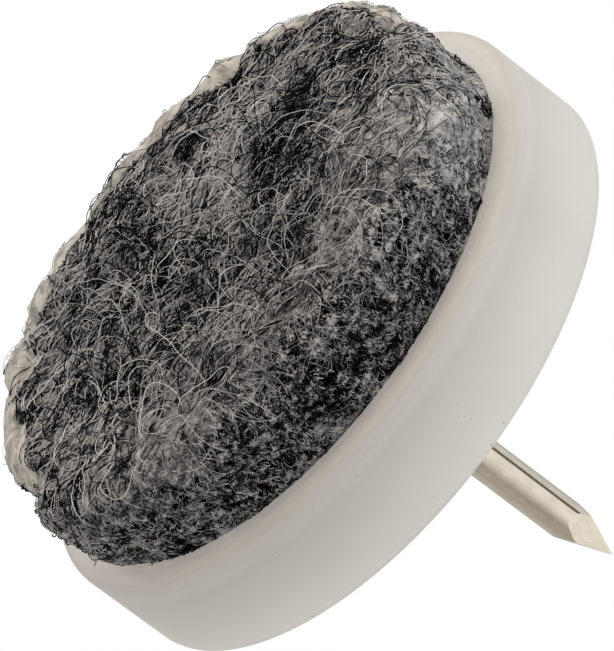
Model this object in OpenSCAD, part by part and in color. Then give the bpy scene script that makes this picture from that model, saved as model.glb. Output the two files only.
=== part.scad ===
// Nail-on felt glide for the foot of a chair or table leg.
// A moulded plastic cup holds a needled felt pad and a steel nail.
// +Z runs along the nail, away from the felt. The origin is the centre of the mounting face,
// which lies against the leg. The glide stands on the face of its felt.

/* [Cup] */
// Outer diameter of the cup at the mounting face
cup_d = 28; // [20:0.5:50]
// Width of the lip round the felt
lip_w = 1.25; // [0.9:0.05:2.5]
// Thickness of the floor between the recess and the mounting face
floor_t = 2.94; // [2:0.02:6]
// Depth of the recess that holds the felt
recess_depth = 2; // [1:0.1:4]
// Draft of the outer wall in degrees, which frees the cup from its mould
draft = 0.75; // [0:0.05:2]
// Radius of the rounded outer edge at the lip
lip_round = 0.45; // [0.1:0.05:0.7]
// Radius of the rounded outer edge at the mounting face
back_round = 0.3; // [0.1:0.05:0.7]

/* [Felt] */
// Height of the felt's face above the lip
felt_proud = 4.6; // [3:0.1:7]
// How far the free side of the felt spreads beyond the recess
felt_spread = 0.4; // [0:0.05:0.8]
// Radius of the felt's worn edge
felt_edge = 1.9; // [1:0.1:2.4]
// Distance from one tuft of the felt to the next
tuft_pitch = 3.2; // [2:0.1:6]
// Height of the tufts above and below the mean surface
tuft_height = 0.3; // [0:0.02:0.5]

/* [Nail] */
// Diameter of the shank
nail_d = 1.8; // [1.2:0.1:3]
// Diameter of the neck under the head, which tapers to the shank at the mounting face
neck_d = 2.3; // [1.9:0.1:3.5]
// Reach of the nail from the mounting face to its tip
nail_reach = 15; // [8:0.5:30]
// Length of the two long facets of the four-sided point
point_l = 3.3; // [1.5:0.05:4]
// Length of its two short facets
point_short_l = 3; // [1.5:0.05:4]
// Turn of the point's facets about the shank, in degrees
point_turn = 78; // [0:1:89]
// Diameter of the head
head_d = 5; // [4:0.1:8]
// Thickness of the head
head_t = 0.9; // [0.6:0.05:1.2]

/* [Fits] */
// Clearance round the neck in its hole, on the radius
nail_fit = 0.02; // [0.01:0.01:0.1]
// Clearance round the head in its counterbore, on the radius
head_fit = 0.1; // [0.05:0.05:0.3]
// Clearance between the felt and the wall of the recess, on the radius
felt_fit = 0.05; // [0.02:0.01:0.2]

/* [Hidden] */

$fn = 96;
// How far a cut runs past the face that it opens
overcut = 1;

// The cup: the heights of its recess floor and lip, and its radii at the lip
recess_z = -floor_t;
lip_z = recess_z - recess_depth;
cup_r = cup_d / 2;
lip_r = cup_r + lip_z * tan(draft);
recess_r = lip_r - lip_w;

// The nail
shank_r = nail_d / 2;
neck_r = neck_d / 2;
head_r = head_d / 2;
head_seat_z = recess_z + head_t;
neck_slope = (neck_r - shank_r) / -head_seat_z;

// The felt: its radius in the recess and on its free side
felt_r = recess_r - felt_fit;
felt_side_r = felt_r + felt_spread;
// The lengths of its outline across the face, round the worn edge and down the side
face_len = felt_side_r - felt_edge;
edge_len = felt_edge * PI / 2;
side_len = felt_proud - felt_edge;
outline_len = face_len + edge_len + side_len;
// The free surface is rings of facets round the middle of the face: ring k has 6 k points
felt_rings = 34;
rim_points = 6 * felt_rings;
// Length of the side above the lip over which the tufts die out
tuft_fade = 1.5;
// Use has pressed the tallest tufts of the face flat: how far they still stand out, and the
// height where that leaves the face
pressed_rise = tuft_height / 3;
pressed_z = lip_z - felt_proud - pressed_rise;

// A layer of tufts is a sum of waves, each with its own direction, phase and length
tuft_waves = 14;
wave_turn = rands(0, 360, tuft_waves, 41);
wave_rise = rands(-50, 50, tuft_waves, 42);
wave_phase = rands(0, 360, tuft_waves, 43);
wave_length = rands(0.75, 1.4, tuft_waves, 44);
wave_dir = [
    for (i = [0 : tuft_waves - 1])
        [cos(wave_turn[i]) * cos(wave_rise[i]), sin(wave_turn[i]) * cos(wave_rise[i]), sin(wave_rise[i])]
];
// The share of the coarse layer, and how much closer the tufts of the fine layer stand
coarse_share = 0.7;
fine_ratio = 2.4;

function total(list) = list * [for (item = list) 1];

function tuft_layer(point, pitch) = total([
    for (i = [0 : tuft_waves - 1])
        sin(wave_phase[i] + 360 * (point * wave_dir[i]) / (pitch * wave_length[i]))
]) / sqrt(tuft_waves);

function tufts(point) =
    coarse_share * tuft_layer(point, tuft_pitch)
    + (1 - coarse_share) * tuft_layer(point, tuft_pitch / fine_ratio);

// The felt's outline at a distance along it from the middle of the face: the radius and the
// height above the lip, then the outward direction
function felt_outline(along) =
    along <= face_len ? [[along, felt_proud], [0, 1]]
    : along <= face_len + edge_len ? edge_outline(90 * (along - face_len) / edge_len)
    : side_outline((along - face_len - edge_len) / side_len);

function edge_outline(turn) = [
    [face_len + felt_edge * sin(turn), side_len + felt_edge * cos(turn)],
    [sin(turn), cos(turn)]
];

function side_outline(down) = [
    [felt_side_r - felt_spread * pow(down, 2), side_len * (1 - down)],
    [1, 0]
];

// A pair of radius and height below the lip, set at an angle round the axis
function around(pair, angle) = [pair[0] * cos(angle), pair[0] * sin(angle), -pair[1]];

// A point of the felt's free surface, raised or sunk by the tufts
function felt_point(along, angle) =
    let (
        outline = felt_outline(along),
        place = around(outline[0], angle) + [0, 0, lip_z],
        fade = min(1, (outline_len - along) / tuft_fade),
        raised = place + tuft_height * fade * tufts(place) * around(outline[1], angle)
    )
    [raised[0], raised[1], max(raised[2], pressed_z)];

// The index of point m of ring k, which starts again after the ring's last point
function ring_index(k, m) = k == 0 ? 0 : 1 + 3 * k * (k - 1) + m % (6 * k);
function lip_index(m) = ring_index(felt_rings, m);
function back_index(m) = 1 + 3 * felt_rings * (felt_rings + 1) + m % rim_points;

felt_points = [
    felt_point(0, 0),
    for (k = [1 : felt_rings], m = [0 : 6 * k - 1])
        felt_point(outline_len * k / felt_rings, 60 * m / k),
    for (m = [0 : rim_points - 1])
        around([felt_r, floor_t], 360 * m / rim_points)
];

felt_faces = [
    // Facets with their base on the outer ring, in six equal sectors
    for (k = [1 : felt_rings], sector = [0 : 5], j = [0 : k - 1])
        [
            ring_index(k - 1, sector * (k - 1) + j),
            ring_index(k, sector * k + j),
            ring_index(k, sector * k + j + 1)
        ],
    // Facets with their base on the inner ring
    for (k = [2 : felt_rings], sector = [0 : 5], j = [0 : k - 2])
        [
            ring_index(k - 1, sector * (k - 1) + j),
            ring_index(k, sector * k + j + 1),
            ring_index(k - 1, sector * (k - 1) + j + 1)
        ],
    // The wall inside the recess
    for (m = [0 : rim_points - 1])
        [lip_index(m), back_index(m), back_index(m + 1), lip_index(m + 1)],
    // The back, against the floor of the recess
    [for (m = [rim_points - 1 : -1 : 0]) back_index(m)]
];

// What rounds off an outer edge of the cup. The corner is where the wall would meet the flat
// face, and side is 1 at the mounting face and -1 at the lip.
module edge_waste(corner, radius, side) {
    run = radius * tan(45 + side * draft / 2);
    centre = corner - [run, side * radius];
    on_wall = corner - side * run * [sin(draft), cos(draft)];
    outside = corner + overcut * [1, side];
    difference() {
        polygon([centre, [centre[0], outside[1]], outside, [outside[0], on_wall[1]], on_wall]);
        translate(centre) circle(radius);
    }
}

// Half of the cup's section, with no recess or holes yet
module cup_section() {
    back_corner = [cup_r, 0];
    lip_corner = [lip_r, lip_z];
    difference() {
        polygon([[0, 0], back_corner, lip_corner, [0, lip_z]]);
        edge_waste(back_corner, back_round, 1);
        edge_waste(lip_corner, lip_round, -1);
    }
}

module cup() {
    color([0.80, 0.78, 0.74])
    difference() {
        rotate_extrude() cup_section();
        translate([0, 0, lip_z - overcut])
            cylinder(h = recess_depth + overcut, r = recess_r);
        translate([0, 0, recess_z - overcut])
            cylinder(h = head_t + overcut, r = head_r + head_fit);
        translate([0, 0, head_seat_z]) neck_hole();
    }
}

// The neck's tapered hole. Its taper runs on past the mounting face.
module neck_hole() {
    run = overcut - head_seat_z;
    wide_r = neck_r + nail_fit;
    cylinder(h = run, r1 = wide_r, r2 = wide_r - neck_slope * run);
}

module felt_pad() {
    color([0.42, 0.41, 0.40])
    polyhedron(points = felt_points, faces = felt_faces);
}

// What is cut off the shank to leave one facet of the point, which runs to the tip from this far
// back along the shank
module facet_waste(length) {
    translate([0, 0, nail_reach])
        rotate([0, -atan(shank_r / length), 0])
        translate([0, -shank_r - overcut, -2 * length])
        cube([nail_d + overcut, nail_d + 2 * overcut, 3 * length]);
}

// The nail before its point is cut is a wire that runs on past the tip
module nail() {
    wire_end = nail_reach + overcut;
    color([0.72, 0.68, 0.62])
    difference() {
        rotate_extrude() polygon([
            [0, recess_z],
            [head_r, recess_z],
            [head_r, head_seat_z],
            [neck_r, head_seat_z],
            [shank_r, 0],
            [shank_r, wire_end],
            [0, wire_end]
        ]);
        for (side = [0, 180]) {
            rotate(side + point_turn) facet_waste(point_l);
            rotate(side + point_turn + 90) facet_waste(point_short_l);
        }
    }
}

cup();
felt_pad();
nail();
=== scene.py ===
"""Looks for the nail-on felt glide: milky cup, drawn steel nail and needled wool felt.

Places and sizes are in millimetres in the part's frame until a mesh is made of them. The felt faces
-z, and the near side, from which the glide is seen, is towards -y.
"""

import math

import bmesh
import bpy
import numpy as np
from mathutils import Matrix, Vector, noise
from mathutils.bvhtree import BVHTree


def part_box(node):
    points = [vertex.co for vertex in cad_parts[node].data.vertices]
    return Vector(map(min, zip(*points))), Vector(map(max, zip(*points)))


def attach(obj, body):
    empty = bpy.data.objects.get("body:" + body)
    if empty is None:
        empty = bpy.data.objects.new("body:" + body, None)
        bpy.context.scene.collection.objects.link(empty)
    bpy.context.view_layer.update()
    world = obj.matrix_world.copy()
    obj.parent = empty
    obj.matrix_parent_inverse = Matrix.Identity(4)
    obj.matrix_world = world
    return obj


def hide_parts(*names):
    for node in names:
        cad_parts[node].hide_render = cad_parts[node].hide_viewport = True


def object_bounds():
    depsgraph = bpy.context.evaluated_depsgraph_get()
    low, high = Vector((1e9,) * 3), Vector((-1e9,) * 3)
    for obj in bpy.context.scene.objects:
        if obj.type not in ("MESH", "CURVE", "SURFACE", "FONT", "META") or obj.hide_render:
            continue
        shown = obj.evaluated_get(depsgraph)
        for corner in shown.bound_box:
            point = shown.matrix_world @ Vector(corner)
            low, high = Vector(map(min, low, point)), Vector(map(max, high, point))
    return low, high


MM = 0.001

# The camera looks up at the felt from below the glide, and is rolled so that the nail points to
# the lower right of the picture.
PICTURE_W, PICTURE_H = 614, 651
FOCAL_PX = 5000
SENSOR_MM = 36
CAMERA_PLACE = (0.0, -189.2, -91.2)
CAMERA_RISE = math.radians(24.93)
CAMERA_ROLL = math.radians(126.92)

# The floor under the glide in the other views
FLOOR_R = 1200

# The cup's lip, as in the CAD source: its width and the radius of its outer edge
LIP_W = 1.25
LIP_ROUND = 0.45
# The lip's outer corner is painted a little darker, as painted shade, as far as this from it
CORNER_SHADE_REACH = 0.9
# The lip glows with painted light beside the felt, against the felt's shade and in place of light
# that comes through the plastic, as far out as this, and it grows over this distance
PAINTED_GLOW_R = 13.1
PAINTED_GLOW_FADE = 0.4
# How deep the light goes into the plastic
LIGHT_DEPTH = 5.5
# Dark specks in the plastic: the place and the radius
SPECKS = (
    ((-12.75, -1.0, -4.94), 0.09),
    ((-0.6, -13.95, -0.2), 0.09),
    ((-1.6, -13.9, -0.34), 0.06),
    ((3.6, -13.5, -3.86), 0.06),
    ((9.2, -10.5, -0.22), 0.08),
)

# The felt's outline: the radius of its free side, how far that spreads beyond the recess, and the
# radius of its worn edge
FELT_SIDE_R = 13.0
FELT_SPREAD = 0.4
FELT_EDGE_R = 1.9
FACE_R = FELT_SIDE_R - FELT_EDGE_R
# The tallest tufts are pressed flat this far below the mean height of the face
PRESSED = 0.1
# The felt's roughness dies out over this height above the lip
ROUGH_FADE = 0.6
# The felt has painted light at the seam with the cup, against the shade of the groove there, over this
# height
SEAM_LIGHT_H = 0.9
# Swells and hollows of the worn edge: azimuth and half width in degrees, height in mm
SWELLS = (
    (357, 6, -0.45),
    (8, 7, -0.35),
    (25, 5, 0.15),
    (43, 4, 0.20),
    (50, 3, -0.22),
    (60, 6, 0.42),
    (78, 5, -0.32),
    (119, 4, -0.15),
    (129, 4, -0.15),
    (139, 5, 0.15),
    (152, 4, -0.20),
    (171, 8, -0.40),
    (186, 9, -0.65),
    (203, 7, -0.35),
)
# Dents of the side: the middle, the reach, and the change of height
DENTS = (((12.8, 0.3, -6.3), 1.6, -0.55),)
# The far rim has a pale halo of painted light, as if lit from behind; it ends at this y at both sides
HALO_END = -1.0
# Where it reaches further in: azimuth and half width in degrees, extra depth in mm
HALO_PATCHES = (
    (2, 8, -0.7),
    (16, 4, 0.3),
    (39, 3, 1.2),
    (57, 4, 1.0),
    (88, 3, 0.4),
    (104, 6, 0.5),
    (126, 9, 0.7),
    (142, 4, 0.3),
    (168, 12, -1.3),
    (182, 7, -0.5),
)
# Lighter and darker parts of the felt: the middle, the reach, and the change of tone. The strong
# lightening towards -x, where the side light falls, is painted light
TONES_AND_PAINTED_LIGHT = (
    ((-12.0, -4.0, -7.5), 3.0, 0.85),
    ((-10.2, -7.8, -8.6), 2.6, 0.75),
    ((-9.2, -9.0, -7.5), 3.2, 0.32),
    ((-5.5, -4.2, -9.5), 2.0, -0.15),
    ((-7.8, -1.0, -9.5), 2.6, -0.12),
    ((-7.0, -11.0, -8.0), 2.0, 0.10),
    ((2.0, -6.0, -9.5), 1.6, 0.15),
    ((1.9, -12.9, -6.8), 2.2, -0.12),
    ((12.0, -3.0, -7.5), 3.0, 0.35),
)

# The felt's cut edge shows from this far in front of the axis on
NEAR_CUT = 9.5
# Towards the near side, over this distance from the axis, fibres are thinner and less curly by
# these shares
NEAR_REACH = 12.0
NEAR_THINNING = 0.42
NEAR_EASING = 0.45
# No fibre stands up beyond this radius, except on the near side, so that the felt keeps its outline
TILT_END = 9.0
# How many places are tried for each lock of fibres, and the least chance that its tone leaves a place
TRIES = 8
LEAST_CHANCE = 0.12
# At each step a fibre keeps this share of its curl, and this share of its kind's curl changes it at
# random
CURL_KEPT = 0.97
CURL_CHANGE = 0.22
# A fibre's ends sink this deep into the mass of wool, over this share of its length
END_DEPTH = 0.08
END_SHARE = 0.14
# Most fibres sink this deep where the rim has its painted halo
HALO_SINK_DEPTH = 0.3
# Fibres stay this far clear of the lip
LIP_CLEAR = 0.05
# At its ends a tube narrows to this share of its width, over this share of its length
TIP_WIDTH = 0.25
TIP_SHARE = 0.12
# Bursts of fine light fibres: where they start, how widely, and how many
WISPS = (
    ((-2.9, -11.2, -9.5), 0.50, 26),
    ((-3.7, -12.1, -8.7), 0.60, 26),
    ((0.2, -12.7, -8.7), 0.40, 22),
    ((2.5, -12.0, -9.2), 0.15, 30),
    ((6.6, -10.8, -8.8), 0.20, 16),
    ((-9.9, -7.8, -8.9), 0.90, 40),
    ((-9.2, -9.2, -6.8), 0.90, 40),
)
# A forked black fibre that has come loose over the lip: each branch bends through three places
LOOSE_FIBRE = (
    ((12.36, -1.55, -5.4), (12.88, -1.90, -5.4), (13.23, -1.93, -5.3)),
    ((12.88, -1.90, -5.4), (12.60, -2.31, -5.4), (12.30, -2.66, -5.4)),
)
LOOSE_FIBRE_R = 0.022

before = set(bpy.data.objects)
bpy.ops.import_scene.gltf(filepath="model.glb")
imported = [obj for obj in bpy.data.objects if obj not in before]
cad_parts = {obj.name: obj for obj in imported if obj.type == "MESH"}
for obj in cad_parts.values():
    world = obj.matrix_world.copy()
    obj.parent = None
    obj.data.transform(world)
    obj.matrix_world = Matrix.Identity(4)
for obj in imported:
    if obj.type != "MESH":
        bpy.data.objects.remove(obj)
cad_low, cad_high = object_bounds()

# The height and outer radius of the lip, and the height where the felt's side meets its worn edge
lip_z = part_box("cup")[0].z / MM
lip_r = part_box("cup")[1].x / MM
edge_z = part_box("felt_pad")[0].z / MM + PRESSED + FELT_EDGE_R


# ---------------------------------------------------------------- shader helpers


def new_material(name):
    """A material with a Principled shader: the material, its node tree and the shader."""
    material = bpy.data.materials.new(name)
    material.use_nodes = True
    tree = material.node_tree
    shader = next(n for n in tree.nodes if n.type == "BSDF_PRINCIPLED")
    return material, tree, shader


def put(tree, node, socket, value):
    """Sets one input of a node, or links it."""
    if isinstance(value, bpy.types.NodeSocket):
        tree.links.new(value, node.inputs[socket])
    else:
        node.inputs[socket].default_value = value


def add_node(tree, kind, inputs=None, **settings):
    """A shader node with its inputs, by name or number, and its other settings."""
    node = tree.nodes.new("ShaderNode" + kind)
    for name, value in settings.items():
        setattr(node, name, value)
    for socket, value in (inputs or {}).items():
        put(tree, node, socket, value)
    return node


def math_node(tree, operation, first, second=0.0, third=0.0, clamp=False):
    inputs = {0: first, 1: second, 2: third}
    return add_node(tree, "Math", inputs, operation=operation, use_clamp=clamp).outputs[0]


def mix_colour(tree, share, first, second, blend="MIX"):
    """The first colour, changed to the second by a share. A Mix node has its colours at 6 and 7."""
    node = add_node(tree, "Mix", data_type="RGBA", blend_type=blend)
    put(tree, node, "Factor", share)
    put(tree, node, 6, first)
    put(tree, node, 7, second)
    return node.outputs[2]


def place_mm(tree):
    """Object coordinates in millimetres."""
    where = add_node(tree, "TexCoord").outputs["Object"]
    return add_node(tree, "VectorMath", {0: where, "Scale": 1 / MM}, operation="SCALE").outputs[0]


def noise_at(tree, where, scale, detail=2.0, roughness=0.5, distortion=0.0):
    """Smooth noise between 0 and 1, with scale in cycles per millimetre."""
    inputs = {"Vector": where, "Scale": scale, "Detail": detail}
    inputs.update({"Roughness": roughness, "Distortion": distortion})
    return add_node(tree, "TexNoise", inputs).outputs["Fac"]


def ramp(tree, value, *stops):
    """A colour ramp with (position, colour) stops. A colour may be one grey level."""
    node = add_node(tree, "ValToRGB", {"Fac": value})
    elements = node.color_ramp.elements
    while len(elements) < len(stops):
        elements.new(0.5)
    for element, (position, colour) in zip(elements, stops):
        element.position = position
        element.color = colour_of(colour)
    return node.outputs["Color"]


def colour_of(value):
    return (value, value, value, 1.0) if isinstance(value, (int, float)) else (*value, 1.0)


def srgb(*levels):
    """Linear light from screen levels of 0 to 255."""
    def linear(level):
        share = level / 255
        return share / 12.92 if share <= 0.04045 else ((share + 0.055) / 1.055) ** 2.4
    return tuple(linear(level) for level in levels)


def strands(tree, where, scale, width, seed):
    """Curly lines that stand for fine fibres: the contour lines of a noise, 1 on a line."""
    moved = add_node(tree, "VectorMath", {0: where, 1: (seed, 2 * seed, -seed)}, operation="ADD").outputs[0]
    level = noise_at(tree, moved, scale, detail=1.5, distortion=0.6)
    from_line = math_node(tree, "ABSOLUTE", math_node(tree, "SUBTRACT", level, 0.5))
    return math_node(tree, "SUBTRACT", 1.0, math_node(tree, "DIVIDE", from_line, width), clamp=True)


def distance(tree, first, second):
    """How far two places lie apart."""
    return add_node(tree, "VectorMath", {0: first, 1: second}, operation="DISTANCE").outputs["Value"]


def bump(tree, height, strength, depth_mm):
    node = add_node(tree, "Bump", {"Height": height, "Strength": strength, "Distance": depth_mm * MM})
    return node.outputs["Normal"]


# ---------------------------------------------------------------- camera and studio


def add_camera():
    data = bpy.data.cameras.new("camera")
    data.sensor_width = SENSOR_MM
    data.lens = FOCAL_PX / max(PICTURE_W, PICTURE_H) * SENSOR_MM
    data.clip_start, data.clip_end = 0.01, 10.0
    camera = bpy.data.objects.new("camera", data)
    bpy.context.scene.collection.objects.link(camera)
    ahead = Vector((0, math.cos(CAMERA_RISE), math.sin(CAMERA_RISE)))
    level_up = Vector((0, -math.sin(CAMERA_RISE), math.cos(CAMERA_RISE)))
    level_right = Vector((1, 0, 0))
    right = level_right * math.cos(CAMERA_ROLL) + level_up * math.sin(CAMERA_ROLL)
    up = right.cross(ahead)
    turn = Matrix((right, up, -ahead)).transposed().to_4x4()
    camera.matrix_world = Matrix.Translation(Vector(CAMERA_PLACE) * MM) @ turn
    bpy.context.scene.camera = camera


def add_area_light(name, place, size, watts, colour):
    """A square soft light, aimed at the middle of the glide."""
    data = bpy.data.lights.new(name, "AREA")
    data.size = size * MM
    data.energy = watts
    data.color = colour
    light = bpy.data.objects.new(name, data)
    bpy.context.scene.collection.objects.link(light)
    light.location = Vector(place) * MM
    light.rotation_euler = (-Vector(place)).to_track_quat("-Z", "Y").to_euler()


def add_world():
    """White to the camera, and a tent of pale panels to light the glide.

    The tent's panels stand round the glide at the azimuths of a ramp, from 0 to 1 for a full
    turn. Below the horizon it is a warm bounce board.
    """
    world = bpy.data.worlds.new("studio")
    bpy.context.scene.world = world
    world.use_nodes = True
    tree = world.node_tree
    tree.nodes.clear()
    direction = add_node(tree, "TexCoord").outputs["Generated"]
    split = add_node(tree, "SeparateXYZ", {0: direction})
    turn = math_node(tree, "ARCTAN2", split.outputs["Y"], split.outputs["X"])
    share = math_node(tree, "FRACT", math_node(tree, "DIVIDE", turn, math.tau))
    panels = ramp(
        tree,
        share,
        (0.000, (0.50, 0.48, 0.44)),
        (0.125, (0.54, 0.53, 0.49)),
        (0.375, (0.55, 0.55, 0.53)),
        (0.430, (0.72, 0.72, 0.73)),
        (0.490, (0.72, 0.72, 0.73)),
        (0.500, (0.06, 0.05, 0.04)),
        (0.535, (0.06, 0.05, 0.04)),
        (0.550, (0.95, 0.94, 0.93)),
        (0.690, (0.95, 0.93, 0.90)),
        (0.750, (0.82, 0.79, 0.76)),
        (0.800, (0.60, 0.57, 0.53)),
        (0.860, (0.42, 0.39, 0.34)),
        (0.930, (0.46, 0.43, 0.39)),
    )
    board = ramp(
        tree,
        share,
        (0.00, (0.69, 0.67, 0.635)),
        (0.25, (0.78, 0.74, 0.71)),
        (0.50, (0.66, 0.64, 0.645)),
        (0.68, (0.58, 0.575, 0.60)),
        (0.86, (0.61, 0.60, 0.59)),
    )
    above = math_node(tree, "MULTIPLY_ADD", split.outputs["Z"], 4.0, 0.5, clamp=True)
    tent = mix_colour(tree, above, board, panels)
    tent_light = add_node(tree, "Background", {"Color": tent, "Strength": 1.0})
    white = add_node(tree, "Background", {"Color": (1, 1, 1, 1), "Strength": 1.0})
    to_camera = add_node(tree, "LightPath").outputs["Is Camera Ray"]
    shown = add_node(tree, "MixShader", {0: to_camera, 1: tent_light.outputs[0], 2: white.outputs[0]})
    add_node(tree, "OutputWorld", {"Surface": shown.outputs[0]})


def add_floor(height):
    """A pale floor under the glide. From below it is clear, and it casts nothing on the glide."""
    place = (0, 0, height)
    bpy.ops.mesh.primitive_circle_add(vertices=96, radius=FLOOR_R * MM, fill_type="NGON", location=place)
    floor = bpy.context.object
    floor.name = "floor"
    material, tree, shader = new_material("pale_floor")
    shader.inputs["Base Color"].default_value = (0.86, 0.86, 0.85, 1)
    shader.inputs["Roughness"].default_value = 0.7
    back = add_node(tree, "NewGeometry").outputs["Backfacing"]
    clear = add_node(tree, "BsdfTransparent")
    mixed = add_node(tree, "MixShader", {0: back, 1: shader.outputs[0], 2: clear.outputs[0]})
    output = next(n for n in tree.nodes if n.type == "OUTPUT_MATERIAL")
    tree.links.new(mixed.outputs[0], output.inputs["Surface"])
    floor.data.materials.append(material)
    floor.visible_diffuse = False
    floor.visible_glossy = False
    floor.visible_transmission = False
    floor.visible_shadow = False


# ---------------------------------------------------------------- cup


def cup_material():
    """Milky satin plastic with faint flow marks, moulding grain and a few dark specks.

    Its lip has painted light and shade.
    """
    material, tree, shader = new_material("milky_plastic")
    where = place_mm(tree)
    height = add_node(tree, "SeparateXYZ", {0: where}).outputs["Z"]
    beside = add_node(tree, "VectorMath", {0: where, 1: (1, 1, 0)}, operation="MULTIPLY").outputs[0]
    radius = add_node(tree, "VectorMath", {0: beside}, operation="LENGTH").outputs["Value"]
    on_lip = math_node(tree, "MULTIPLY_ADD", height, -1 / LIP_ROUND, 1 + lip_z / LIP_ROUND, clamp=True)
    inward = math_node(tree, "MULTIPLY_ADD", radius, -1 / LIP_W, lip_r / LIP_W, clamp=True)

    cloud = noise_at(tree, where, 0.12)
    wall = ramp(tree, cloud, (0.3, srgb(225, 223, 218)), (0.7, srgb(231, 229, 225)))
    # The lip's warm beige, with painted light that grows towards the felt, against the felt's shade
    lip = ramp(tree, inward, (0.2, srgb(205, 200, 194)), (0.75, srgb(240, 235, 228)))
    colour = mix_colour(tree, on_lip, speckled(tree, where, wall), lip)
    put(tree, shader, "Base Color", painted_corner_shade(tree, radius, height, colour))

    # Painted light: the lip glows beside the felt, where the felt's shade falls
    painted_glow = math_node(tree, "MULTIPLY", painted_lip_light(tree, radius, inward), on_lip)
    put(tree, shader, "Emission Color", (1.0, 0.93, 0.86, 1))
    put(tree, shader, "Emission Strength", painted_glow)
    put(tree, shader, "Subsurface Weight", 1.0)
    put(tree, shader, "Subsurface Radius", (1.0, 1.0, 1.0))
    put(tree, shader, "Subsurface Scale", LIGHT_DEPTH * MM)
    satin = noise_at(tree, where, 0.5, detail=4.0)
    put(tree, shader, "Roughness", ramp(tree, satin, (0.3, 0.34), (0.7, 0.44)))
    grain = noise_at(tree, where, 9.0, detail=3.0)
    put(tree, shader, "Normal", bump(tree, grain, 0.10, 0.02))
    return material


def speckled(tree, where, colour):
    """The colour with a few dark specks and some finer dots."""
    dots = math_node(tree, "GREATER_THAN", noise_at(tree, where, 7.0, detail=0.0), 0.9)
    for place, radius in SPECKS:
        from_speck = distance(tree, where, place)
        speck = math_node(tree, "MULTIPLY_ADD", from_speck, -1.5 / radius, 1.5, clamp=True)
        dots = math_node(tree, "MAXIMUM", dots, speck)
    return mix_colour(tree, math_node(tree, "MULTIPLY", dots, 0.6), colour, (*srgb(140, 130, 118), 1))


def painted_corner_shade(tree, radius, height, colour):
    """The colour, darkened by painted shade near the lip's outer corner."""
    section = add_node(tree, "CombineXYZ", {"X": radius, "Y": height}).outputs[0]
    from_corner = distance(tree, section, (lip_r, lip_z, 0))
    near = math_node(tree, "MULTIPLY_ADD", from_corner, -1 / CORNER_SHADE_REACH, 1.0, clamp=True)
    return mix_colour(tree, math_node(tree, "MULTIPLY", near, 0.31), colour, (0, 0, 0, 1))


def painted_lip_light(tree, radius, inward):
    """The painted light that glows from the lip: it grows inwards, and most of it is beside the felt."""
    beside_felt = math_node(tree, "MULTIPLY_ADD", radius, -1 / PAINTED_GLOW_FADE, PAINTED_GLOW_R / PAINTED_GLOW_FADE, clamp=True)
    return math_node(tree, "MULTIPLY_ADD", beside_felt, 0.17, math_node(tree, "MULTIPLY", inward, 0.085))


def dress_cup():
    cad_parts["cup"].material_slots[0].material = cup_material()


# ---------------------------------------------------------------- nail


def nail_material():
    """Drawn steel wire with fine lines along it and a faint mottling."""
    material, tree, shader = new_material("drawn_steel")
    where = place_mm(tree)
    drawn = add_node(tree, "Mapping", {"Vector": where, "Scale": (6.0, 6.0, 0.25)}).outputs[0]
    lines = noise_at(tree, drawn, 1.0, detail=4.0, roughness=0.6)
    mottle = noise_at(tree, where, 1.6, detail=4.0, roughness=0.6)
    marks = math_node(tree, "MULTIPLY_ADD", mottle, 0.6, math_node(tree, "MULTIPLY", lines, 0.4))
    colour = ramp(tree, marks, (0.38, srgb(219, 210, 196)), (0.60, srgb(233, 225, 210)))
    put(tree, shader, "Base Color", colour)
    put(tree, shader, "Metallic", 1.0)
    put(tree, shader, "Roughness", ramp(tree, marks, (0.38, 0.17), (0.60, 0.14)))
    put(tree, shader, "Normal", bump(tree, lines, 0.04, 0.02))
    return material


def dress_nail():
    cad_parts["nail"].material_slots[0].material = nail_material()


# ---------------------------------------------------------------- felt: its form


def unit(vectors):
    return vectors / np.linalg.norm(vectors, axis=-1, keepdims=True)


def felt_frame(places):
    """For places near the felt, the nearest places on its smooth outline and where it faces."""
    radius = np.linalg.norm(places[:, :2], axis=1, keepdims=True)
    inner = places[:, :2] * np.minimum(1, FACE_R / np.maximum(radius, 1e-6))
    height = np.maximum(places[:, 2:], edge_z)
    core = np.hstack([inner, height])
    facing = unit(places - core)
    down = (height - edge_z) / (lip_z - edge_z)
    return core + (FELT_EDGE_R - FELT_SPREAD * down**2) * facing, facing


def azimuth(place):
    """The angle round the axis, from 0 to 360 degrees."""
    return math.degrees(math.atan2(place[1], place[0])) % 360


def clamped(value):
    return min(1.0, max(0.0, value))


def hump(value, middle, half_width):
    """1 in the middle, falling smoothly to nothing at about twice the half width."""
    return math.exp(-(((value - middle) / half_width) ** 2))


def round_rim(place, bumps):
    """The sum of bumps round the rim, each with its azimuth, half width and height."""
    turn = azimuth(place)
    return sum(height * hump((turn - middle + 180) % 360, 180, width) for middle, width, height in bumps)


def parts_at(place, parts):
    """The sum of the changes of some parts of the felt, each with its middle, reach and change."""
    return sum(change * hump(math.dist(place, middle), 0, reach) for middle, reach, change in parts)


def swell(place):
    """How far the surface stands out or in here, at the worn edge and in the dents."""
    radius = math.hypot(place[0], place[1])
    return clamped((radius - FACE_R + 2.0) / 2.0) * round_rim(place, SWELLS) + parts_at(place, DENTS)


def painted_rim_halo(place):
    """From 0 to 1 where the far rim has a pale halo of painted light, with no dark fibres."""
    radius = math.hypot(place[0], place[1])
    if place[1] < HALO_END or radius < FACE_R - 2.5:
        return 0.0
    turn = azimuth(place)
    depth = 0.25 * noise.noise((turn * 0.14, 3.0, 0.0)) + 0.35 * noise.noise((turn * 0.5, radius, 8.0))
    depth += round_rim(place, HALO_PATCHES)
    start = FACE_R - 0.08 - 0.9 * depth
    worn = (edge_z - 0.4 - place[2]) / 0.5 + max(0.0, 4.0 - place[1]) / 2
    return clamped((radius - start) / 0.3) * clamped(place[1] - HALO_END) * clamped(worn)


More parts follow.
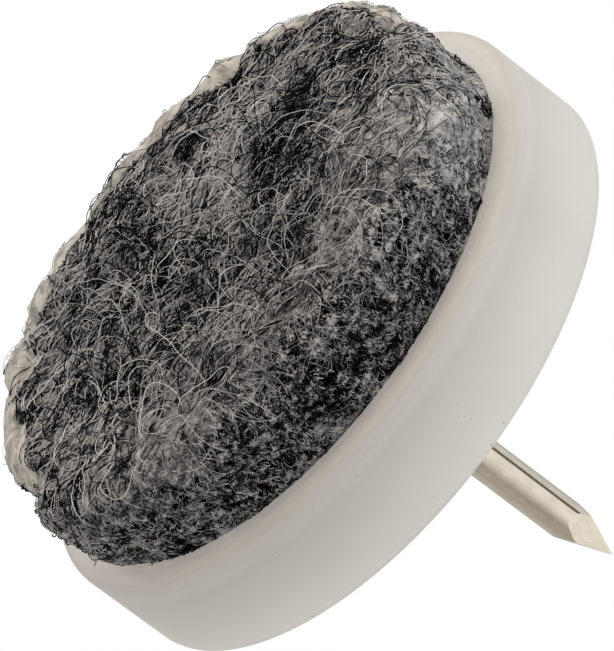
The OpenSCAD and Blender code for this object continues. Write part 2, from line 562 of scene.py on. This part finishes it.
def clump_at(place):
    """How high the clump of fibres stands here, above or below the mean: at three sizes."""
    drawn = Vector((place[0], place[1], 1.7 * place[2]))
    return (
        noise.noise(Vector(place) * 1.15 + Vector((2, 9, 4))),
        noise.noise(drawn * 2.2 + Vector((7, 3, 5))),
        noise.noise(drawn * 4.6 + Vector((1, 6, 2))),
    )


def painted_clump_light_at(place):
    """How light the clump of fibres is painted here, as painted light and shade: what stands up is lighter.
    """
    coarse, clump, fine = clump_at(place)
    return 0.30 * coarse + 0.75 * clump + 0.45 * fine


def tone_and_painted_light_at(place):
    """How much lighter or darker the felt is here; towards -x, where the side light falls, it is painted
    light.
    """
    return parts_at(place, TONES_AND_PAINTED_LIGHT)


def side_share(place):
    """0 on the far part of the face, 1 on the near side, where the felt's cut edge shows."""
    return clamped((place[2] - edge_z + FELT_EDGE_R) / 1.6 + max(0.0, -place[1] - NEAR_CUT) / 2.5)


def roughened(place):
    """A place on the felt's surface moved by the clumps of its fibres."""
    free = clamped((lip_z - place.z) / ROUGH_FADE)
    if free == 0:
        return place
    facing = Vector(felt_frame(np.array([place]))[1][0])
    smooth = 1 - 0.8 * painted_rim_halo(place)
    coarse, clump, fine = clump_at(place)
    height = 0.08 * coarse + (0.08 + 0.05 * side_share(place)) * clump + 0.04 * fine
    return place + facing * free * (smooth * height + swell(place))


def add_felt_mass():
    """The felt's mass: the CAD solid's form, refined and roughened by clumps of fibre."""
    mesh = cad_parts["felt_pad"].data.copy()
    mass = bpy.data.objects.new("felt_mass", mesh)
    bpy.context.scene.collection.objects.link(mass)
    edit = bmesh.new()
    edit.from_mesh(mesh)
    bmesh.ops.remove_doubles(edit, verts=edit.verts, dist=1e-7)
    for _ in range(2):
        bmesh.ops.subdivide_edges(edit, edges=edit.edges, cuts=1, use_grid_fill=True)
    places = [vertex.co / MM for vertex in edit.verts]
    for vertex, place in zip(edit.verts, places):
        vertex.co = roughened(place) * MM
    edit.to_mesh(mesh)
    edit.free()
    tones_and_light = [tone_and_painted_light_at(place) for place in places]
    # The far rim's halo of painted light, for the material
    store(mesh, "painted_halo", [painted_rim_halo(place) for place in places])
    # Painted light and shade of the clumps, with the felt's tone
    store(mesh, "clump", [painted_clump_light_at(place) + 0.8 * tone for place, tone in zip(places, tones_and_light)])
    # The felt's tone, with its painted light towards -x
    store(mesh, "tone", tones_and_light)
    mesh.materials.clear()
    mesh.materials.append(felt_material())
    mesh.polygons.foreach_set("use_smooth", [True] * len(mesh.polygons))
    declare_felt(mass)
    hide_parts("felt_pad")
    return mass


def store(mesh, name, values):
    """Keeps one value for each point of the mesh, for its material."""
    mesh.attributes.new(name, "FLOAT", "POINT").data.foreach_set("value", values)


def stored(tree, name):
    """A value that the mesh keeps at each of its points."""
    return add_node(tree, "Attribute", attribute_name=name).outputs["Fac"]


def declare_felt(piece):
    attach(piece, "root")


# ---------------------------------------------------------------- felt: its colour behind the fibres


def felt_material():
    """The mass behind the fibres: combed wool on the face, cut wool on the side and the near edge, both
    with painted light and shade, and a pale halo of painted light at the far rim."""
    material, tree, shader = new_material("felt_wool")
    where = place_mm(tree)
    split = add_node(tree, "SeparateXYZ", {0: where})
    colour = mix_colour(tree, cut_share(tree, split), face_wool(tree, where), cut_wool(tree, where, split))
    # The felt's tone, with painted light towards -x, lightens or darkens the mass
    tone = math_node(tree, "MULTIPLY_ADD", stored(tree, "tone"), 0.4, 1.0)
    colour = mix_colour(tree, 1.0, colour, tone, blend="MULTIPLY")
    # The pale halo of painted light at the far rim
    colour = mix_colour(tree, stored(tree, "painted_halo"), colour, painted_halo_colour(tree, where))
    put(tree, shader, "Base Color", colour)
    put(tree, shader, "Roughness", 0.95)
    put(tree, shader, "Specular IOR Level", 0.0)
    relief = noise_at(tree, where, 5.0, detail=4.0)
    put(tree, shader, "Normal", bump(tree, relief, 0.6, 0.06))
    return material


def face_wool(tree, where):
    """Grey wool combed along x, with fine light and dark strands drawn over it.

    Its clumps have painted light where they stand up and painted shade in the gaps between them.
    """
    combed = add_node(tree, "Mapping", {"Vector": where, "Scale": (0.5, 1, 1)}).outputs[0]
    clumps = noise_at(tree, combed, 2.0, detail=5.0, roughness=0.7, distortion=0.5)
    # The stored clump adds painted light where the clumps stand up and painted shade where they lie low
    clumps = math_node(tree, "MULTIPLY_ADD", stored(tree, "clump"), 0.12, clumps)
    face = ramp(
        tree,
        clumps,
        (0.41, srgb(6, 6, 7)),
        (0.46, srgb(98, 98, 100)),
        (0.55, srgb(138, 138, 140)),
        (0.66, srgb(190, 190, 192)),
    )
    for scale, width, seed, level, weight in (
        (1.6, 0.016, 3.0, srgb(175, 175, 177), 0.6),
        (2.1, 0.022, 11.0, srgb(6, 6, 8), 0.9),
        (2.6, 0.016, 19.0, srgb(196, 196, 198), 0.6),
        (3.4, 0.030, 31.0, srgb(6, 6, 8), 0.9),
        (4.6, 0.034, 47.0, srgb(6, 6, 8), 0.7),
    ):
        line = math_node(tree, "MULTIPLY", strands(tree, combed, scale, width, seed), weight)
        face = mix_colour(tree, line, face, (*level, 1))
    return face


def cut_wool(tree, where, split):
    """Wool where it was cut: painted shade in the hollows between light tufts, and painted light at the
    seam.
    """
    drawn = add_node(tree, "Mapping", {"Vector": where, "Scale": (1, 1, 0.7)}).outputs[0]
    fluff = noise_at(tree, drawn, 7.0, detail=3.0, roughness=0.7, distortion=1.2)
    blotch = math_node(tree, "MULTIPLY_ADD", fluff, 3.6, -1.8)
    # The stored clump paints light on the tufts that stand up and shade in the hollows
    blotch = math_node(tree, "MULTIPLY_ADD", stored(tree, "clump"), 0.75, blotch)
    height = split.outputs["Z"]
    # Painted light at the seam, against the shade of the groove between the felt and the lip
    painted_seam_light = math_node(tree, "MULTIPLY_ADD", height, 1 / SEAM_LIGHT_H, 1 - lip_z / SEAM_LIGHT_H, clamp=True)
    blotch = math_node(tree, "MULTIPLY_ADD", painted_seam_light, 0.15, blotch)
    return ramp(
        tree,
        math_node(tree, "MULTIPLY_ADD", blotch, 0.5, 0.5),
        (0.42, srgb(8, 8, 9)),
        (0.50, srgb(56, 55, 57)),
        (0.60, srgb(112, 111, 113)),
        (0.80, srgb(182, 181, 182)),
    )


def cut_share(tree, split):
    """Where cut wool shows: 0 on the face, 1 down the side and at the near edge."""
    low = math_node(tree, "MULTIPLY_ADD", split.outputs["Z"], 0.6, -0.6 * (edge_z - FELT_EDGE_R + 0.3))
    near = math_node(tree, "MULTIPLY_ADD", split.outputs["Y"], -0.4, -0.4 * NEAR_CUT)
    near = math_node(tree, "MAXIMUM", near, 0.0)
    return math_node(tree, "ADD", math_node(tree, "MAXIMUM", low, 0.0), near, clamp=True)


def painted_halo_colour(tree, where):
    """The colour of the rim's halo of painted light, cloudy like a thin film."""
    film = noise_at(tree, where, 1.3, detail=4.0, roughness=0.6)
    return ramp(
        tree,
        film,
        (0.35, srgb(138, 137, 133)),
        (0.50, srgb(182, 180, 174)),
        (0.68, srgb(212, 209, 203)),
    )


# ---------------------------------------------------------------- felt: its fibres


def fibre_material(name, dark, light, shine):
    """One colour of wool, which varies from fibre to fibre and a little along each."""
    material, tree, shader = new_material(name)
    each = add_node(tree, "NewGeometry").outputs["Random Per Island"]
    along = noise_at(tree, place_mm(tree), 1.5)
    tone = math_node(tree, "MULTIPLY_ADD", along, 0.35, -0.17)
    colour = ramp(tree, math_node(tree, "ADD", each, tone), (0.0, dark), (1.0, light))
    put(tree, shader, "Base Color", colour)
    put(tree, shader, "Roughness", 0.55)
    put(tree, shader, "Specular IOR Level", shine)
    return material


def nearness(along_y):
    """0 behind the axis, growing to 1 at the near side."""
    return np.clip(-along_y / NEAR_REACH, 0, 1)


def scatter(rng, count, zone):
    """Places on the felt: zone gives how densely the face, worn edge and side are sown."""
    # The worn edge is a quarter turn, whose mean sine is 0.64
    edge_mean_r = FACE_R + 0.64 * FELT_EDGE_R
    face_area = math.pi * FACE_R**2 * zone["face"]
    edge_area = math.tau * edge_mean_r * FELT_EDGE_R * math.pi / 2 * zone["edge"]
    side_area = math.tau * FELT_SIDE_R * (lip_z - edge_z) * zone["side"]
    areas = np.array([face_area, edge_area, side_area])
    part = rng.choice(3, count, p=areas / areas.sum())
    angle = rng.uniform(0, math.tau, count)
    share = rng.random(count)
    turn = share * math.pi / 2
    radius = np.where(part == 0, FACE_R * np.sqrt(share), 0)
    radius = np.where(part == 1, FACE_R + FELT_EDGE_R * np.sin(turn), radius)
    radius = np.where(part == 2, FELT_SIDE_R, radius)
    height = np.where(part == 0, edge_z - FELT_EDGE_R, edge_z)
    height = np.where(part == 1, edge_z - FELT_EDGE_R * np.cos(turn), height)
    height = np.where(part == 2, lip_z + (edge_z - lip_z) * share * (1 - zone["bare"]), height)
    return np.stack([radius * np.cos(angle), radius * np.sin(angle), height], axis=1)


def heading_along(facing, heading):
    """The direction on the surface that turns by heading about its facing."""
    steep = np.abs(facing[:, :1]) < 0.9
    across = unit(np.cross(facing, np.where(steep, [[1.0, 0, 0]], [[0, 1.0, 0]])))
    return across * np.cos(heading)[:, None] + np.cross(facing, across) * np.sin(heading)[:, None]


def grow(rng, kind):
    """Curly paths over the felt's smooth outline, sown in locks that share a heading."""
    count = kind["count"]
    locks = max(1, count // kind["lock"])
    lock = rng.integers(0, locks, count)
    tried = scatter(rng, TRIES * locks, kind["zone"])
    # Light fibres crowd where the felt is painted lighter, by its tone and painted light, and dark ones
    # where it is darker
    tone = np.array([tone_and_painted_light_at(place) + 0.7 * painted_clump_light_at(place) for place in tried])
    near = np.array([side_share(place) for place in tried])
    liking = np.maximum(0.5 + kind["tone"] * tone, LEAST_CHANCE) * (1 - kind["side_loss"] * near**3)
    lock_place = tried[rng.random(len(tried)) < liking][:locks]
    lock_heading = kind["heading"] + rng.normal(0, kind["turns"], locks)
    place = lock_place[lock] + rng.normal(0, kind["lock_size"], (count, 3))
    heading = lock_heading[lock] + rng.normal(0, kind["stray"], count)
    return wander(rng, kind, place, heading, lock)


def burst(rng, kind):
    """Paths that radiate from a few named middles."""
    starts = np.concatenate([np.tile(middle, (count, 1)) for middle, size, count in kind["middles"]])
    sizes = np.concatenate([np.full(count, size) for middle, size, count in kind["middles"]])
    starts = starts + rng.normal(0, 0.5, starts.shape) * sizes[:, None]
    heading = rng.uniform(0, math.tau, len(starts))
    return wander(rng, kind, starts, heading, np.arange(len(starts)))


def bend(rng, kind, lock, size):
    """Random curls, which the fibres of a lock partly share."""
    together = kind["together"]
    shared = rng.normal(0, size, lock.max() + 1)[lock]
    own = rng.normal(0, size, len(lock))
    return together * shared + math.sqrt(1 - together**2) * own


def wander(rng, kind, place, heading, lock):
    """Paths that set out from these places and curl over the felt's smooth outline."""
    place, facing = felt_frame(place)
    ahead = heading_along(facing, heading)
    ease = 1 - NEAR_EASING * nearness(place[:, 1])
    curl = bend(rng, kind, lock, kind["curl"])
    paths, facings = [], []
    for _ in range(kind["points"]):
        paths.append(place)
        facings.append(facing)
        curl = curl * CURL_KEPT + bend(rng, kind, lock, kind["curl"] * CURL_CHANGE)
        turn = (curl * ease * kind["step"])[:, None]
        ahead = ahead * np.cos(turn) + np.cross(facing, ahead) * np.sin(turn)
        place = place + ahead * kind["step"]
        place[:, 2] = np.minimum(place[:, 2], lip_z - LIP_CLEAR)
        place, facing = felt_frame(place)
        ahead = unit(ahead - facing * np.sum(ahead * facing, axis=1, keepdims=True))
    return np.stack(paths, axis=1), np.stack(facings, axis=1)


def settle(rng, kind, paths, facings, mass_tree):
    """Lays the paths on the felt's mass, so that they weave in and out and end inside it.

    Some stand up a little towards +y, where the far side of their curls is.
    """
    count, points = paths.shape[:2]
    along = np.linspace(0, 1, points)
    ends = np.clip(np.minimum(along, 1 - along) / END_SHARE, 0, 1)
    turns = rng.uniform(1.2, 3.6, count)[:, None]
    wave = np.sin(math.tau * (along * turns + rng.random(count)[:, None]))
    lift = np.abs(rng.normal(0, kind["lift"], count))[:, None]
    height = (lift + kind["weave"] * wave) * ends - END_DEPTH * (1 - ends)
    sinks = rng.random(count) > kind["over_halo"]
    rise = np.zeros((count, points))
    for i in range(count):
        for j in range(points):
            rise[i, j] = mass_rise(mass_tree, paths[i, j], facings[i, j])
            if sinks[i]:
                height[i, j] -= HALO_SINK_DEPTH * painted_rim_halo(paths[i, j])
    tilt = kind["tilt"] * rng.random((count, 1)) ** 2
    back = paths[:, :, 1]
    inside = np.hypot(paths[:, :, 0], np.maximum(back, -TILT_END / 2))
    flat = np.clip((TILT_END - inside) / 2, 0, 1)
    height += tilt * flat * (back - back.min(axis=1, keepdims=True))
    return paths + (bridged(rise) + height)[..., None] * facings


def mass_rise(mass_tree, place, facing):
    """How far the mass stands out beyond a place on the felt's smooth outline."""
    reach = 1.5
    start = place + reach * facing
    hit = mass_tree.ray_cast(Vector(start), Vector(-facing), 2 * reach)
    return reach - hit[3] if hit[0] else 0


def bridged(rise):
    """The heights along each path, evened out, because a fibre bridges small hollows."""
    for _ in range(3):
        padded = np.pad(rise, ((0, 0), (1, 1)), mode="edge")
        rise = 0.25 * padded[:, :-2] + 0.5 * rise + 0.25 * padded[:, 2:]
    return rise


def tube_mesh(name, paths, facings, radii):
    """One mesh of closed three-sided tubes with pointed ends, one for each path."""
    count, points = paths.shape[:2]
    tangent = unit(np.gradient(paths, axis=1))
    across = unit(np.cross(tangent, facings))
    rise = np.cross(across, tangent)
    along = np.linspace(0, 1, points)[None, :, None]
    width = radii[:, None, None] * np.clip(np.minimum(along, 1 - along) / TIP_SHARE, TIP_WIDTH, 1)
    rings = []
    for corner in range(3):
        angle = math.tau * corner / 3 + math.pi / 2
        rings.append(paths + width * (across * math.cos(angle) + rise * math.sin(angle)))
    body = np.stack(rings, axis=2)[:, 1:-1]
    vertices = np.concatenate([body.reshape(count, -1, 3), paths[:, :1], paths[:, -1:]], axis=1)
    mesh = bpy.data.meshes.new(name)
    fill_mesh(mesh, vertices.reshape(-1, 3) * MM, tube_faces(points, vertices.shape[1], count))
    return mesh


def tube_faces(points, per_tube, count):
    """Triangles of count tubes, each with this many points and vertices."""
    faces = []
    for ring in range(points - 3):
        for side in range(3):
            a, b = 3 * ring + side, 3 * ring + (side + 1) % 3
            faces += [(a, b, b + 3), (a, b + 3, a + 3)]
    last = 3 * (points - 3)
    for side in range(3):
        after = (side + 1) % 3
        faces += [(per_tube - 2, after, side), (per_tube - 1, last + side, last + after)]
    one = np.array(faces)
    return (one[None] + per_tube * np.arange(count)[:, None, None]).reshape(-1, 3)


def fill_mesh(mesh, vertices, triangles):
    mesh.vertices.add(len(vertices))
    mesh.vertices.foreach_set("co", vertices.astype(np.float32).ravel())
    mesh.loops.add(triangles.size)
    mesh.loops.foreach_set("vertex_index", triangles.astype(np.int32).ravel())
    mesh.polygons.add(len(triangles))
    mesh.polygons.foreach_set("loop_start", np.arange(0, triangles.size, 3, dtype=np.int32))
    mesh.polygons.foreach_set("use_smooth", np.ones(len(triangles), bool))
    mesh.update(calc_edges=True)


def add_tubes(name, paths, facings, radii, material):
    mesh = tube_mesh(name, paths, facings, radii)
    mesh.materials.append(material)
    piece = bpy.data.objects.new(name, mesh)
    bpy.context.scene.collection.objects.link(piece)
    declare_felt(piece)


def add_fibres(kind, mass_tree):
    """One piece of fibres, all of one colour and kind."""
    rng = np.random.default_rng(kind["seed"])
    paths, facings = burst(rng, kind) if "middles" in kind else grow(rng, kind)
    paths = settle(rng, kind, paths, facings, mass_tree)
    radii = rng.uniform(*kind["radius"], len(paths))
    thinned = radii * (1 - NEAR_THINNING * nearness(paths[:, :, 1].mean(axis=1)))
    add_tubes(kind["name"], paths, facings, thinned, kind["material"])


def add_loose_fibre(material):
    """The forked fibre over the lip, as one bent tube for each branch."""
    along = np.linspace(0, 1, 9)[:, None]
    paths = []
    for first, middle, last in np.array(LOOSE_FIBRE):
        arc = first * (1 - along) * (1 - 2 * along) + middle * 4 * along * (1 - along)
        paths.append(arc + last * along * (2 * along - 1))
    paths = np.array(paths)
    facings = np.broadcast_to([0.0, 0.0, -1.0], paths.shape)
    add_tubes("felt_loose_fibre", paths, facings, np.full(len(paths), LOOSE_FIBRE_R), material)


# Where fibres are sown: how densely on the face, the worn edge and the side, and the share of the
# side's height that is left bare, from the worn edge on
MOSTLY_FACE = {"face": 1.0, "edge": 0.55, "side": 0.05, "bare": 0.0}
MOSTLY_SIDE = {"face": 0.15, "edge": 1.0, "side": 1.6, "bare": 0.0}
AT_SEAM = {"face": 0.0, "edge": 0.0, "side": 1.0, "bare": 0.8}


def fibre_kinds():
    """Every piece of fibres. What each kind says:

    points, step: the points along a fibre and the distance between them.
    radius: the least and the greatest radius.
    curl, together: how tightly a fibre curls, and how far a lock curls as one.
    lock, lock_size: the fibres of a lock, and how widely they are sown.
    heading, turns, stray: the mean heading, and how far a lock and a fibre in it turn from it.
    lift, weave, tilt: how high it lies, how far it weaves in and out, and how far it stands up.
    tone: 1 where it seeks the light parts of the felt, down to -1 where it seeks the dark ones. These
    parts are partly painted light and shade.
    side_loss: the share that is missing on the near side.
    over_halo: the share that doesn't sink where the rim has its painted halo.
    """
    light = fibre_material("wool_light", srgb(140, 141, 145), srgb(226, 226, 228), 0.2)
    white = fibre_material("wool_white", srgb(196, 196, 199), srgb(250, 250, 252), 0.2)
    grey = fibre_material("wool_grey", srgb(108, 108, 112), srgb(188, 188, 192), 0.1)
    fluff = fibre_material("wool_fluff", srgb(118, 118, 122), srgb(212, 212, 214), 0.1)
    black = fibre_material("wool_black", srgb(3, 3, 5), srgb(16, 15, 19), 0.03)

    fibre = {"together": 0.0, "tilt": 0.0, "tone": 0.0, "side_loss": 0.0, "over_halo": 0.03}
    long = {**fibre, "points": 24, "step": 0.2, "together": 0.85, "lock": 7, "lock_size": 0.35,
            "heading": math.pi / 2, "turns": 0.9, "stray": 0.3, "lift": 0.06, "weave": 0.08, "tilt": 0.4,
            "side_loss": 0.88, "zone": MOSTLY_FACE}
    loop = {**long, "curl": 1.5, "lock": 3, "lock_size": 0.15, "lift": 0.10, "tilt": 0.45}
    short = {**fibre, "points": 9, "step": 0.11, "curl": 3.2, "lock": 12, "lock_size": 0.35,
             "heading": 0.0, "turns": 3.0, "stray": 0.8, "weave": 0.03, "zone": MOSTLY_SIDE}
    seam = {**short, "count": 400, "zone": AT_SEAM}
    dab = {**fibre, "points": 5, "step": 0.09, "curl": 3.0, "lock": 5, "lock_size": 0.2,
           "heading": 0.4, "turns": 0.8, "stray": 0.4, "lift": 0.07, "weave": 0.0, "zone": MOSTLY_SIDE}
    wisp = {**fibre, "points": 12, "step": 0.13, "curl": 0.7, "lift": 0.10, "weave": 0.03}
    return [
        {**long, "name": "felt_fibres_grey", "seed": 11, "count": 1120, "material": grey, "curl": 1.1,
         "radius": (0.014, 0.022), "lock": 10, "lift": 0.02, "weave": 0.07, "tilt": 0.0, "over_halo": 0.35},
        {**long, "name": "felt_fibres_light", "seed": 12, "count": 1250, "material": light, "curl": 1.4,
         "radius": (0.014, 0.021), "tone": 1.0, "over_halo": 0.30},
        {**long, "name": "felt_fibres_black", "seed": 13, "count": 1350, "material": black, "curl": 1.3,
         "radius": (0.019, 0.030), "tone": -0.8, "over_halo": 0.08},
        {**short, "name": "felt_fuzz_light", "seed": 14, "count": 1800, "material": fluff,
         "radius": (0.014, 0.022), "lift": 0.05, "tone": 1.0},
        {**short, "name": "felt_fuzz_black", "seed": 15, "count": 1200, "material": black,
         "radius": (0.022, 0.034), "lift": 0.04, "tone": -0.8},
        {**seam, "name": "felt_seam_fuzz_light", "seed": 17, "material": fluff,
         "radius": (0.014, 0.024), "lift": 0.08},
        {**seam, "name": "felt_seam_fuzz_black", "seed": 18, "material": black,
         "radius": (0.022, 0.034), "lift": 0.07},
        {**loop, "name": "felt_loops_light", "seed": 21, "count": 240, "material": white,
         "radius": (0.016, 0.023), "tone": 1.0},
        {**loop, "name": "felt_loops_black", "seed": 22, "count": 260, "material": black,
         "radius": (0.022, 0.032)},
        {**dab, "name": "felt_dabs_light", "seed": 31, "count": 3400, "material": light,
         "radius": (0.020, 0.034), "tone": 1.0},
        {**dab, "name": "felt_dabs_black", "seed": 32, "count": 3000, "material": black,
         "radius": (0.026, 0.044), "tone": 0.1},
        {**wisp, "name": "felt_wisps", "seed": 16, "material": light, "middles": WISPS,
         "radius": (0.010, 0.016)},
    ]


def add_felt():
    """The felt: its mass, and the fibres that lie on it."""
    mass = add_felt_mass()
    places = [vertex.co / MM for vertex in mass.data.vertices]
    mass_tree = BVHTree.FromPolygons(places, [tuple(face.vertices) for face in mass.data.polygons])
    for kind in fibre_kinds():
        add_fibres(kind, mass_tree)
    add_loose_fibre(bpy.data.materials["wool_black"])


# ---------------------------------------------------------------- scene

bpy.context.scene.view_settings.view_transform = "Standard"
add_camera()
add_world()
add_area_light("side_light", (-150, -20, -130), 150, 0.12, (1.0, 0.95, 0.76))
add_area_light("low_light", (0, -60, -190), 150, 0.115, (1.0, 0.80, 0.62))
add_floor(cad_low.z)
dress_cup()
dress_nail()
add_felt()
